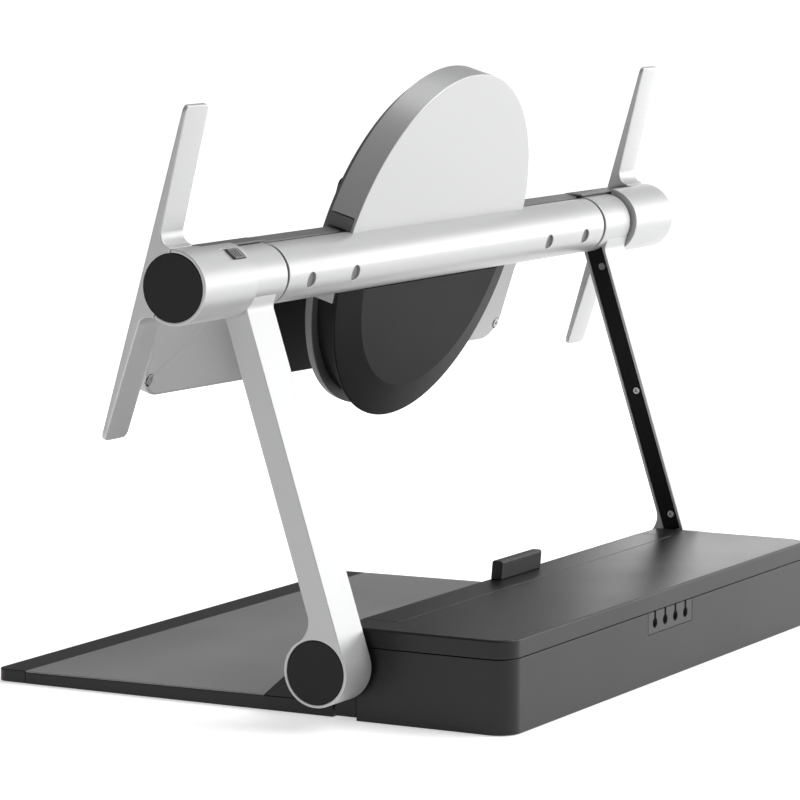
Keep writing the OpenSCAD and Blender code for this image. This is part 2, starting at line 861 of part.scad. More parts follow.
module mount_wing(left) {
    w = mount_w / 2;
    mirrored(left)
        color([0.72, 0.72, 0.73])
            in_mount_side(left)
                difference() {
                    union() {
                        translate([0, -mount_n, 0]) rotate([90, 0, 0])
                            linear_extrude(height = plate_t) wing_outline();
                        x_block(centre_w / 2, w - wing_corner_r, -mount_n - lip_d, -mount_n - plate_t / 2,
                            -mount_drop, -mount_drop + plate_t);
                        x_block(w - plate_t, w, -mount_n - lip_d, -mount_n - plate_t / 2,
                            -mount_drop + wing_corner_r, ear_u - 8);
                        translate([w - wing_corner_r, 0, -mount_drop + wing_corner_r])
                            intersection() {
                                difference() {
                                    y_cyl(wing_corner_r, -mount_n - lip_d, -mount_n - plate_t / 2);
                                    y_cyl(wing_corner_r - plate_t, -mount_n - lip_d - 1, -mount_n);
                                }
                                x_block(0, wing_corner_r + 1, -mount_n - lip_d, -mount_n,
                                    -wing_corner_r - 1, 0);
                            }
                    }
                    translate([w - wing_screw_in, 0, wing_screw_u])
                        y_cyl(display_hole_r, -mount_n - lip_d - 1, -mount_n + 1);
                    translate([w - wing_screw_in, 0, wing_screw_u])
                        y_cyl(4.2, -mount_n - 1.2, -mount_n + 1);
                }
}

// The roll of the mount, seen from a mirrored side
module in_mount_side(left) {
    in_head() rotate([0, left ? mount_roll : -mount_roll, 0]) children();
}

module centre_panel() {
    w = centre_w / 2 - fit_gap;
    color([0.06, 0.06, 0.06])
        in_mount()
            difference() {
                union() {
                    x_block(-w, w, -mount_n - lip_d, -mount_n, -mount_drop, plate_top);
                    x_block(-tab_w / 2, tab_w / 2, -mount_n - lip_d, -mount_n, plate_top - 1,
                        tab_top - tab_corner_r);
                    x_block(tab_corner_r - tab_w / 2, tab_w / 2 - tab_corner_r, -mount_n - lip_d,
                        -mount_n, plate_top - 1, tab_top);
                    for (s = [-1, 1])
                        translate([s * (tab_w / 2 - tab_corner_r), 0, tab_top - tab_corner_r])
                            y_cyl(tab_corner_r, -mount_n - lip_d, -mount_n);
                }
                for (s = [-1, 1], t = [-1, 1])
                    translate([s * display_hole_pitch / 2, 0,
                        t * display_hole_pitch / 2 - display_hole_drop])
                        y_cyl(display_hole_r, -mount_n - lip_d - 1, -mount_n + 1);
            }
}

module wing_screws() {
    color([0.7, 0.7, 0.7])
        for (left = [false, true])
            mirrored(left)
                in_mount_side(left)
                    translate([mount_w / 2 - wing_screw_in, 0, wing_screw_u])
                        difference() {
                            union() {
                                y_cyl(3.8, -mount_n - 1.2, -mount_n + 0.6);
                                y_cyl(display_hole_r, -mount_n - 9, -mount_n - 1.2);
                            }
                            y_cyl(1.2, -mount_n - 0.6, -mount_n + 1);
                        }
}

// ---- levers ----

module lever_profile() {
    polygon([[front_n, -lever_down], [front_n + lever_tip_t, -lever_down],
        [front_n + lever_root_t, -30], [split_n - run_gap, -barrel_r + 2],
        [split_n - run_gap, barrel_r - 2], [front_n + lever_root_t, 30],
        [front_n + lever_tip_t, lever_up], [front_n, lever_up]]);
}

module lever(left) {
    mirrored(left)
        color([0.86, 0.86, 0.87])
            in_head()
                difference() {
                    union() {
                        intersection() {
                            x_cyl(barrel_r, lever_x0, lever_x1);
                            x_block(lever_x0, lever_x1, -barrel_r, split_n - run_gap,
                                -barrel_r, barrel_r);
                        }
                        x_extrude(lever_x0, lever_x1) lever_profile();
                    }
                    for (s = [-1, 1])
                        translate([pin_x, 0, s * pin_u]) y_cyl(pin_r, pin_n, 0);
                    x_cyl(core_r + run_gap, lever_x0 - 1, lever_x1 - end_cap_t - 0.5);
                    x_cyl(end_cap_r + fit_gap, lever_x1 - end_cap_t - 0.5 - eps, lever_x1 + 1);
                }
}

module lever_pins(left) {
    mirrored(left)
        color([0.6, 0.6, 0.62])
            in_head()
                for (s = [-1, 1])
                    translate([pin_x, 0, s * pin_u]) {
                        y_cyl(pin_r, pin_n, 2);
                        y_cyl(spring_r - 0.3, 0.4, 2);
                    }
}

tray_plate();
tray_front_strip();
tray_mat();
floor_plate();
box_shell();
ballast_block();
rubber_feet();
front_rail();
bumper();
cable_grommet();
hinge_bracket(true);  // hinge_bracket_left
hinge_bracket(false);  // hinge_bracket_right
pivot_shaft(true);  // pivot_shaft_left
pivot_shaft(false);  // pivot_shaft_right
friction_discs(true);  // friction_discs_left
friction_discs(false);  // friction_discs_right
hinge_ramp(true);  // hinge_ramp_left
hinge_ramp(false);  // hinge_ramp_right
lid();
arm_shell(true);  // arm_shell_left
arm_shell(false);  // arm_shell_right
arm_inner_cover(true);  // arm_inner_cover_left
arm_inner_cover(false);  // arm_inner_cover_right
arm_cover_screws();
hub_cap(true);  // hub_cap_left
hub_cap(false);  // hub_cap_right
pivot_bush(true);  // pivot_bush_left
pivot_bush(false);  // pivot_bush_right
collar_bush(true);  // collar_bush_left
collar_bush(false);  // collar_bush_right
seal_ring(true);  // seal_ring_left
seal_ring(false);  // seal_ring_right
cross_beam();
beam_plugs();
tilt_shaft();
yoke_rail();
barrel(true);  // barrel_left
barrel(false);  // barrel_right
end_cap(true);  // end_cap_left
end_cap(false);  // end_cap_right
head_disc();
upper_cover();
lower_cover();
rim_block(true);  // rim_block_left
rim_block(false);  // rim_block_right
saddle(true);  // saddle_left
saddle(false);  // saddle_right
turn_spindle();
lever_springs();
lock_slider();
turn_housing();
mount_wing(true);  // mount_wing_left
mount_wing(false);  // mount_wing_right
centre_panel();
wing_screws();
lever(true);  // lever_left
lever(false);  // lever_right
lever_pins(true);  // lever_pins_left
lever_pins(false);  // lever_pins_right
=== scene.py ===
"""Adjustable desk stand for a pen display.

A weighted base with a cable bay, a lid and a front tray, two arms that lean about hubs beside
the base, and a tilting head with a turning display mount and two release levers. The CAD frame
is loaded first, and every piece here is built in that frame and rides on its CAD body.
"""
import json
import logging
import math
from dataclasses import dataclass
from enum import Enum
from typing import Any, Callable, ClassVar, Iterable, Sequence

import bmesh
import bpy
from mathutils import Matrix, Vector


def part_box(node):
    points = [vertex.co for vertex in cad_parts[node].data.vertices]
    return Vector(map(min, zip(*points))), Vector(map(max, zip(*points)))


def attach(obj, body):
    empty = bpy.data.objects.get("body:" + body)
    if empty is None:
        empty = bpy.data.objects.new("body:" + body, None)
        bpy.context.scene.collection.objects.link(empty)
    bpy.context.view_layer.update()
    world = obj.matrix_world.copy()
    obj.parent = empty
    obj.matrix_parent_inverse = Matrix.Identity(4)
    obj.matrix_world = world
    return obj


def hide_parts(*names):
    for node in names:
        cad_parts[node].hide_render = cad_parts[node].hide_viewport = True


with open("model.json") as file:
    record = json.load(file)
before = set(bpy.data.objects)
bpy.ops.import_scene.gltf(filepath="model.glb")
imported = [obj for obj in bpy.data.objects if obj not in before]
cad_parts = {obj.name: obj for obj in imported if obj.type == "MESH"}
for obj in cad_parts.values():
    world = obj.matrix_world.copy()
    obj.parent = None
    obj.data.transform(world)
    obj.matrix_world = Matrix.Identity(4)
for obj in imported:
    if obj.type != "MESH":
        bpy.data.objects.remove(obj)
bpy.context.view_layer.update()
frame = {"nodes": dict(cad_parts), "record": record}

MM = 0.001
SAME_POINT_MM = 1e-4
CAD_SAME_POINT_MM = 0.002
CAD_FLAT_DEG = 0.6
SHARP_DEG = 35.0
CREASE_DEG = 28.0
LARGE_SEGMENTS = 5
LOG = logging.getLogger("pen_display_stand")

Point2 = tuple[float, float]
Corner = tuple[float, float, float]
Colour = tuple[float, float, float]


# ---------------------------------------------------------------------------------------------
# Shader maths
# ---------------------------------------------------------------------------------------------


class Wire:
    """A value socket that takes part in sums: each operator adds its own Math node."""

    def __init__(self, paint: "Paint", socket: bpy.types.NodeSocket) -> None:
        """Keep the socket and the paint whose node tree it is in.

        Args:
            paint: The paint that owns the node tree.
            socket: The output socket to wrap.
        """
        self.paint = paint
        self.socket = socket

    def __add__(self, other: "Wire | float") -> "Wire":
        """Return self + other."""
        return self.paint.math("ADD", self, other)

    __radd__ = __add__

    def __sub__(self, other: "Wire | float") -> "Wire":
        """Return self - other."""
        return self.paint.math("SUBTRACT", self, other)

    def __rsub__(self, other: float) -> "Wire":
        """Return other - self."""
        return self.paint.math("SUBTRACT", other, self)

    def __mul__(self, other: "Wire | float") -> "Wire":
        """Return self * other."""
        return self.paint.math("MULTIPLY", self, other)

    __rmul__ = __mul__

    def clamped(self) -> "Wire":
        """Return self kept between 0 and 1."""
        return self.paint.math("ADD", self, 0.0, clamp=True)


class Paint:
    """The node tree of one material while it is put together."""

    def __init__(self, name: str) -> None:
        """Start a material with a Principled shader on its output.

        Args:
            name: The material's name.
        """
        self.material = bpy.data.materials.new(name)
        self.material.use_nodes = True
        self.tree = self.material.node_tree
        self.tree.nodes.clear()
        self.shader = self.node("ShaderNodeBsdfPrincipled")
        output = self.node("ShaderNodeOutputMaterial")
        self.tree.links.new(self.shader.outputs["BSDF"], output.inputs["Surface"])
        self.place = Wire(self, self.node("ShaderNodeTexCoord").outputs["Object"])

    def node(
        self,
        kind: str,
        settings: dict[str, Any] | None = None,
        inputs: dict[str | int, Any] | None = None,
    ) -> bpy.types.Node:
        """Add a node.

        Args:
            kind: The node's type.
            settings: Its settings, which are set first.
            inputs: Values or wires for its input sockets, by name or number.

        Returns:
            The new node.
        """
        node = self.tree.nodes.new(kind)
        for key, value in (settings or {}).items():
            setattr(node, key, value)
        for key, value in (inputs or {}).items():
            self.feed(node.inputs[key], value)
        return node

    def feed(self, socket: bpy.types.NodeSocket, value: "Wire | Any") -> None:
        """Link a wire to a socket, or set the socket's own value.

        Args:
            socket: The input socket.
            value: A wire, or a number, vector or colour.
        """
        if isinstance(value, Wire):
            self.tree.links.new(value.socket, socket)
        else:
            socket.default_value = value

    def math(self, operation: str, a: "Wire | float", b: "Wire | float",
             clamp: bool = False) -> Wire:
        """Add a Math node.

        Args:
            operation: The Math node's operation.
            a: Its first value.
            b: Its second value.
            clamp: Whether the result is kept between 0 and 1.

        Returns:
            The result.
        """
        settings = {"operation": operation, "use_clamp": clamp}
        return Wire(self, self.node("ShaderNodeMath", settings, {0: a, 1: b}).outputs[0])

    def stretched(self, scale: Colour) -> Wire:
        """Return the object's coordinates in metres, scaled along each axis."""
        node = self.node("ShaderNodeMapping", None, {"Vector": self.place, "Scale": scale})
        return Wire(self, node.outputs[0])

    def noise(self, size_mm: float, detail: float = 2.0, rough: float = 0.5,
              at: Wire | None = None) -> Wire:
        """Add a noise pattern.

        Args:
            size_mm: The size of its largest features.
            detail: Its octaves.
            rough: How strong the small octaves are.
            at: Coordinates other than the object's own.

        Returns:
            The pattern's value.
        """
        inputs = {"Vector": at or self.place, "Scale": 1 / (size_mm * MM), "Detail": detail,
                  "Roughness": rough}
        return Wire(self, self.node("ShaderNodeTexNoise", None, inputs).outputs[0])

    def cells(self, size_mm: float, feature: str = "SMOOTH_F1") -> Wire:
        """Add a pattern of cells.

        Args:
            size_mm: The size of a cell.
            feature: What the pattern measures.

        Returns:
            The distance within each cell.
        """
        node = self.node("ShaderNodeTexVoronoi", {"feature": feature},
                         {"Vector": self.place, "Scale": 1 / (size_mm * MM)})
        return Wire(self, node.outputs["Distance"])

    def mix(self, factor: Wire | float, a: "Wire | Colour", b: "Wire | Colour") -> Wire:
        """Blend two colours.

        Args:
            factor: How much of the second colour there is.
            a: The first colour.
            b: The second colour.

        Returns:
            The blended colour.
        """
        node = self.node("ShaderNodeMix", {"data_type": "RGBA"})
        self.feed(node.inputs[0], factor)
        for socket, colour in zip((node.inputs[6], node.inputs[7]), (a, b)):
            self.feed(socket, colour if isinstance(colour, Wire) else (*colour, 1.0))
        return Wire(self, node.outputs[2])

    def bump(self, height: Wire, depth_mm: float, under: Wire | None = None) -> Wire:
        """Turn a height pattern into a normal.

        Args:
            height: The pattern.
            depth_mm: The height that a value of 1 stands for.
            under: A normal that this one lies on.

        Returns:
            The normal.
        """
        inputs: dict[str | int, Any] = {"Height": height, "Distance": depth_mm * MM}
        if under is not None:
            inputs["Normal"] = under
        return Wire(self, self.node("ShaderNodeBump", None, inputs).outputs[0])

    def dress(self, **values: Any) -> bpy.types.Material:
        """Set the shader's sockets, with underscores for the spaces in their names.

        Args:
            **values: A value or wire for each socket.

        Returns:
            The finished material.
        """
        for key, value in values.items():
            self.feed(self.shader.inputs[key.replace("_", " ")], value)
        return self.material


# ---------------------------------------------------------------------------------------------
# Finishes
# ---------------------------------------------------------------------------------------------


class Surface(Enum):
    """How a finish feels under a fingertip."""

    BLASTED = "fine bead-blasted metal"
    MOULDED = "moulded plastic with a spark-eroded grain"
    BRUSHED = "metal brushed along one axis"
    PAINTED = "powder paint with a slight orange peel"
    RUBBER = "soft mat with a speckled grain"


@dataclass(frozen=True)
class Finish:
    """One finish of the stand: its colour, gloss and the grain that its surface has."""

    name: str
    slot: str
    surface: Surface
    colour: Colour
    shade: Colour
    roughness: float
    metallic: float = 0.0
    grain_mm: float = 0.5
    depth_mm: float = 0.02
    coat: float = 0.0
    specular: float = 0.5
    drift_mm: ClassVar[float] = 90.0
    ripple_mm: ClassVar[float] = 35.0
    ripple_depth_mm: ClassVar[float] = 0.02

    def grain(self, paint: Paint) -> Wire:
        """Make the height pattern of this finish's surface.

        Args:
            paint: The paint to add it to.

        Returns:
            The pattern.
        """
        fine = self.grain_mm
        if self.surface is Surface.BLASTED:
            return paint.noise(fine, 3.0, 0.6) * 0.7 + paint.cells(fine * 1.7) * 0.5
        if self.surface is Surface.MOULDED:
            return paint.cells(fine) * 0.6 + paint.noise(fine * 0.5, 2.0) * 0.6
        if self.surface is Surface.BRUSHED:
            return paint.noise(fine, 3.0, 0.6, paint.stretched((0.04, 1.0, 1.0)))
        if self.surface is Surface.PAINTED:
            return paint.noise(fine * 3.0, 1.0) * 0.7 + paint.noise(fine, 2.0) * 0.3
        return paint.noise(fine, 4.0, 0.7) * 0.8 + paint.cells(fine * 2.2, "F1") * 0.4

    def build(self) -> bpy.types.Material:
        """Make this finish into a material.

        Returns:
            The material.
        """
        paint = Paint(self.name)
        grain = self.grain(paint)
        drift = paint.noise(self.drift_mm, 3.0, 0.55)
        speck = ((grain - 0.45) * 1.6).clamped()
        tone = (drift * 0.6 + speck * 0.5).clamped()
        rough = self.roughness + (drift - 0.5) * 0.10 + (grain - 0.5) * 0.08
        ripple = paint.bump(paint.noise(self.ripple_mm, 1.0), self.ripple_depth_mm)
        return paint.dress(
            Base_Color=paint.mix(tone, self.shade, self.colour),
            Roughness=rough,
            Metallic=self.metallic,
            Coat_Weight=self.coat,
            Specular_IOR_Level=self.specular,
            Normal=paint.bump(grain, self.depth_mm, ripple),
        )


def tint(level: float, cool: float = 0.0, spread: float = 0.12) -> tuple[Colour, Colour]:
    """Make a colour and the darker shade that it varies to.

    Args:
        level: The linear brightness.
        cool: How much bluer than grey it is, as a share.
        spread: How much darker the shade is, as a share.

    Returns:
        The colour and its shade.
    """
    colour = (level * (1 - cool), level, level * (1 + cool))
    return colour, tuple(c * (1 - spread) for c in colour)


FINISHES: tuple[Finish, ...] = (
    Finish("satin_silver", "silver", Surface.BLASTED,
           *tint(0.51, 0.004, 0.06), 0.38, 0.5, 0.5, 0.012),
    Finish("graphite_shell", "graphite", Surface.MOULDED,
           *tint(0.010, 0.01, 0.2), 0.36, 0.0, 0.7, 0.03, specular=0.34),
    Finish("tray_mat_rubber", "mat", Surface.RUBBER,
           *tint(0.26, 0.0, 0.35), 0.75, 0.0, 0.9, 0.10),
    Finish("soft_black_rubber", "soft", Surface.RUBBER,
           *tint(0.022, 0.0, 0.3), 0.55, 0.0, 0.8, 0.05),
    Finish("brushed_steel", "steel", Surface.BRUSHED,
           *tint(0.45, 0.01, 0.15), 0.34, 0.95, 0.4, 0.01),
    Finish("painted_bracket", "bracket", Surface.PAINTED,
           *tint(0.012, 0.0, 0.15), 0.5, 0.0, 0.6, 0.02, specular=0.35),
    Finish("grey_trim", "trim_grey", Surface.MOULDED,
           *tint(0.16, 0.0, 0.15), 0.5, 0.0, 0.6, 0.02),
    # Black plastic, partly its own black and partly painted shade: its colour is set darker still so
    # that the gap behind the disc edge reads as deep shade.
    Finish("black_moulding_and_painted_shade", "black", Surface.MOULDED,
           *tint(0.004, 0.0, 0.25), 0.56, 0.0, 0.7, 0.03, specular=0.2),
    Finish("cap_black", "black", Surface.MOULDED,
           *tint(0.010, 0.0, 0.2), 0.5, 0.0, 0.5, 0.015, specular=0.25),
    Finish("grommet_grey", "graphite", Surface.MOULDED,
           *tint(0.035, 0.0, 0.2), 0.5, 0.0, 0.6, 0.02),
    # The rail is the beam's silver, painted much darker to stand in for the shade and dark reflection
    # along its top.
    Finish("rail_silver_painted_shade", "silver", Surface.BLASTED,
           *tint(0.17, 0.0, 0.08), 0.45, 0.4, 0.5, 0.012),
    Finish("disc_grey", "steel", Surface.BLASTED,
           *tint(0.20, 0.0, 0.1), 0.45, 0.5, 0.5, 0.012),
    Finish("wing_silver", "silver", Surface.PAINTED,
           *tint(0.48, 0.0, 0.06), 0.46, 0.4, 0.6, 0.02),
    Finish("bush_bronze", "bronze", Surface.BRUSHED,
           (0.48, 0.30, 0.12), (0.36, 0.21, 0.08), 0.35, 0.95, 0.4, 0.01),
)


class Palette:
    """The stand's materials by name, and the CAD slot that each belongs to."""

    def __init__(self) -> None:
        """Build every finish."""
        self.finishes = {finish.name: finish for finish in FINISHES}
        self.materials = {finish.name: finish.build() for finish in FINISHES}
        self.by_slot = {finish.slot: finish.name for finish in reversed(FINISHES)}
        self.slots = {part["node"]: part["material_slot"] for part in frame["record"]["subparts"]}

    def apply(self, piece: bpy.types.Object, name: str, node: str) -> None:
        """Give a new piece a finish.

        Args:
            piece: The piece.
            name: The finish's name.
            node: The CAD node; not used.
        """
        piece.data.materials.clear()
        piece.data.materials.append(self.materials[name])

    def dress_cad_nodes(self) -> None:
        """Give each CAD node the finish of its own slot."""
        for name, slot in self.slots.items():
            node = frame["nodes"][name]
            material = self.materials[self.by_slot[slot]]
            if not node.material_slots:
                node.data.materials.append(material)
            for place in node.material_slots:
                place.material = material


# ---------------------------------------------------------------------------------------------
# Mesh building
# ---------------------------------------------------------------------------------------------


def rounded(corners: Sequence[Corner], closed: bool = True, step_deg: float = 7.5) -> list[Point2]:
    """Round the corners of an outline.

    Args:
        corners: Each corner's two coordinates and its radius, in mm.
        closed: Whether the last corner joins the first.
        step_deg: The largest turn between two points of an arc.

    Returns:
        The outline's points.
    """
    points: list[Point2] = []
    count = len(corners)
    for i, (x, y, radius) in enumerate(corners):
        at = Vector((x, y))
        if radius <= 0 or (not closed and i in (0, count - 1)):
            points.append((x, y))
            continue
        before = (Vector(corners[i - 1][:2]) - at).normalized()
        after = (Vector(corners[(i + 1) % count][:2]) - at).normalized()
        half = before.angle(after) / 2
        centre = at + (before + after).normalized() * radius / math.sin(half)
        first = at + before * radius / math.tan(half) - centre
        turn = math.pi - 2 * half
        sign = 1.0 if before.cross(after) < 0 else -1.0
        steps = max(2, math.ceil(math.degrees(turn) / step_deg))
        for k in range(steps + 1):
            angle = sign * turn * k / steps
            c, s = math.cos(angle), math.sin(angle)
            points.append((centre.x + first.x * c - first.y * s, centre.y + first.x * s + first.y * c))
    return points


def arc(centre: Point2, radius: float, start: float, end: float, steps: int) -> list[Point2]:
    """Return points of an arc, both ends among them.

    Args:
        centre: The arc's centre.
        radius: Its radius.
        start: The angle of its first point, in degrees.
        end: The angle of its last point, in degrees.
        steps: The number of steps between them.

    Returns:
        The points.
    """
    angles = (math.radians(start + (end - start) * k / steps) for k in range(steps + 1))
    return [(centre[0] + radius * math.cos(a), centre[1] + radius * math.sin(a)) for a in angles]


class Body:
    """A closed mesh under construction, in mm in its sub-assembly's own frame."""

    def __init__(self) -> None:
        """Start an empty mesh."""
        self.bm = bmesh.new()

    def skin(self, rings: Sequence[Sequence[Vector]]) -> "Body":
        """Add a closed skin through rings of points, with a face over each end.

        Args:
            rings: Rings with the same number of points.

        Returns:
            This mesh.
        """
        rows = [[self.bm.verts.new(p) for p in ring] for ring in rings]
        count = len(rows[0])
        faces = [self.bm.faces.new(rows[0]), self.bm.faces.new(list(reversed(rows[-1])))]
        for low, high in zip(rows, rows[1:]):
            for i in range(count):
                j = (i + 1) % count
                faces.append(self.bm.faces.new((low[i], high[i], high[j], low[j])))
        bmesh.ops.recalc_face_normals(self.bm, faces=faces)
        return self

    def prism(self, outline: Sequence[Point2], start: float, end: float) -> "Body":
        """Add an outline drawn out along X.

        Args:
            outline: The outline's points, as (y, z).
            start: Where the prism starts.
            end: Where it ends.

        Returns:
            This mesh.
        """
        return self.skin([[Vector((x, *point)) for point in outline] for x in (start, end)])

    def turned(self, profile: Sequence[Point2], centre: Vector = Vector((0, 0, 0)),
               steps: int = 96) -> "Body":
        """Add a closed profile turned round a line along X.

        Args:
            profile: The profile's corners as (x, radius).
            centre: A point on the line.
            steps: Facets round the line.

        Returns:
            This mesh.
        """
        rows = []
        for k in range(steps):
            a = 2 * math.pi * k / steps
            c, s = math.cos(a), math.sin(a)
            rows.append([self.bm.verts.new(centre + Vector((x, r * c, r * s)))
                         for x, r in profile])
        faces = []
        count = len(profile)
        for k in range(steps):
            here, there = rows[k], rows[(k + 1) % steps]
            for i in range(count):
                j = (i + 1) % count
                faces.append(self.bm.faces.new((here[i], here[j], there[j], there[i])))
        bmesh.ops.remove_doubles(self.bm, verts=self.bm.verts, dist=SAME_POINT_MM)
        bmesh.ops.recalc_face_normals(self.bm, faces=self.bm.faces)
        return self

    def soften(self, radius: float, segments: int = 3, sharp_deg: float = SHARP_DEG,
               where: Callable[[Vector], bool] | None = None) -> "Body":
        """Round the sharp edges.

        Args:
            radius: The rounding, in mm.
            segments: The number of facets over it.
            sharp_deg: Only edges that turn by more than this are rounded.
            where: Only edges with their middle here are rounded.

        Returns:
            This mesh.
        """
        sharp = math.radians(sharp_deg)
        edges = [e for e in self.bm.edges
                 if len(e.link_faces) == 2 and e.calc_face_angle(0.0) > sharp
                 and (where is None or where((e.verts[0].co + e.verts[1].co) / 2))]
        if edges:
            bmesh.ops.bevel(self.bm, geom=edges, offset=radius, offset_type="OFFSET",
                            segments=segments, profile=0.5, affect="EDGES",
                            clamp_overlap=False, miter_outer="ARC", spread=0.1)
        return self

    def sink_below(self, level: float, depth: float, to_frame: Matrix) -> "Body":
        """Sink the lowest edge into the piece below it, so that no line shows there.

        Args:
            level: Points below this height move.
            depth: How far they move down, in mm.
            to_frame: The frame in which the edge is level.

        Returns:
            This mesh.
        """
        self.bm.transform(to_frame.inverted())
        for vert in self.bm.verts:
            if vert.co.z < level:
                vert.co.z -= depth
        self.bm.transform(to_frame)
        return self

    def object(self, name: str, to_frame: Matrix, mirror: bool = False) -> bpy.types.Object:
        """Turn the mesh into an object, in metres.

        Args:
            name: The object's name.
            to_frame: The sub-assembly's frame, in mm.
            mirror: Whether the piece is the one on the left.

        Returns:
            The object.
        """
        flip = Matrix.Scale(-1, 4, (1, 0, 0)) if mirror else Matrix.Identity(4)
        self.bm.transform(Matrix.Scale(MM, 4) @ to_frame @ flip)
        if mirror:
            bmesh.ops.reverse_faces(self.bm, faces=self.bm.faces)
        mesh = bpy.data.meshes.new(name)
        self.bm.to_mesh(mesh)
        self.bm.free()
        piece = bpy.data.objects.new(name, mesh)
        bpy.context.scene.collection.objects.link(piece)
        return piece


def from_node(node: str) -> Body:
    """Start from a CAD node's shape, as clean faces in mm.

    Args:
        node: The CAD node's name.

    Returns:
        The mesh.
    """
    body = Body()
    body.bm.from_mesh(frame["nodes"][node].data)
    body.bm.transform(Matrix.Scale(1 / MM, 4))
    bmesh.ops.remove_doubles(body.bm, verts=body.bm.verts, dist=CAD_SAME_POINT_MM)
    bmesh.ops.dissolve_limit(body.bm, angle_limit=math.radians(CAD_FLAT_DEG),
                             verts=body.bm.verts, edges=body.bm.edges)
    bmesh.ops.recalc_face_normals(body.bm, faces=body.bm.faces)
    return body


def cut(piece: bpy.types.Object, tools: Iterable[bpy.types.Object]) -> None:
    """Take tool shapes out of a piece, and remove the tools.

    Args:
        piece: The piece.
        tools: The shapes to take out.
    """
    shapes = list(tools)
    for tool in shapes:
        change = piece.modifiers.new("cut", "BOOLEAN")
        change.operation, change.solver, change.object = "DIFFERENCE", "EXACT", tool
    settle(piece)
    for tool in shapes:
        mesh = tool.data
        bpy.data.objects.remove(tool)
        bpy.data.meshes.remove(mesh)


def join(piece: bpy.types.Object, other: bpy.types.Object) -> None:
    """Add another object's mesh to a piece, and remove the other object.

    Args:
        piece: The piece that stays.
        other: The object whose mesh is added.
    """
    bm = bmesh.new()
    bm.from_mesh(piece.data)
    bm.from_mesh(other.data)
    bm.to_mesh(piece.data)
    bm.free()
    mesh = other.data
    bpy.data.objects.remove(other)
    bpy.data.meshes.remove(mesh)


def settle(piece: bpy.types.Object) -> None:
    """Apply a piece's modifiers to its mesh.

    Args:
        piece: The piece.
    """
    bpy.context.view_layer.update()
    graph = bpy.context.evaluated_depsgraph_get()
    mesh = bpy.data.meshes.new_from_object(piece.evaluated_get(graph), depsgraph=graph)
    old = piece.data
    piece.modifiers.clear()
    piece.data = mesh
    name = old.name
    bpy.data.meshes.remove(old)
    mesh.name = name


def resoften(piece: bpy.types.Object, radius: float, segments: int = 3,
             sharp_deg: float = SHARP_DEG) -> None:
    """Round the sharp edges of a piece that has been cut.

    Args:
        piece: The piece.
        radius: The rounding, in mm.
        segments: The number of facets over it.
        sharp_deg: Only edges that turn by more than this are rounded.
    """
    change = piece.modifiers.new("rounding", "BEVEL")
    change.width, change.segments = radius * MM, segments
    change.limit_method, change.angle_limit = "ANGLE", math.radians(sharp_deg)
    change.use_clamp_overlap = False
    change.miter_outer = "MITER_ARC"
    settle(piece)


def shade(piece: bpy.types.Object, crease_deg: float = CREASE_DEG) -> None:
    """Shade a piece smoothly up to a crease angle, with flat faces kept flat.

    Args:
        piece: The piece.
        crease_deg: Edges that turn by more than this stay crisp.
    """
    mesh = piece.data
    mesh.polygons.foreach_set("use_smooth", [True] * len(mesh.polygons))
    mesh.set_sharp_from_angle(angle=math.radians(crease_deg))
    even = piece.modifiers.new("even shading", "WEIGHTED_NORMAL")
    even.keep_sharp = True


# ---------------------------------------------------------------------------------------------
# Frames of the moving parts, and the base class of the sub-assemblies
# ---------------------------------------------------------------------------------------------


@dataclass(frozen=True)
class Stand:
    """Where the stand's axes lie, in mm."""

    hub_y: float = 81.1
    hub_z: float = 39.7
    arm_lean: float = 17.7
    arm_l: float = 271.6
    axis_e: float = 15.5
    tilt: float = 16.5
    mount_roll: float = 0.8

    @property
    def base(self) -> Matrix:
        """The frame of the base."""
        return Matrix.Identity(4)

    @property
    def arm(self) -> Matrix:
        """The frame of the arms: Y to the rear, Z up the arm."""
        return Matrix.Translation((0, self.hub_y, self.hub_z)) @ Matrix.Rotation(
            math.radians(self.arm_lean), 4, "X")

    @property
    def head(self) -> Matrix:
        """The frame of the head: Y to the rear of the display, Z up it."""
        axis = self.arm @ Vector((0, self.axis_e, self.arm_l))
        return Matrix.Translation(axis) @ Matrix.Rotation(math.radians(-self.tilt), 4, "X")

    @property
    def mount(self) -> Matrix:
        """The frame of the display mount, rolled a little."""
        return self.head @ Matrix.Rotation(math.radians(-self.mount_roll), 4, "Y")


STAND = Stand()


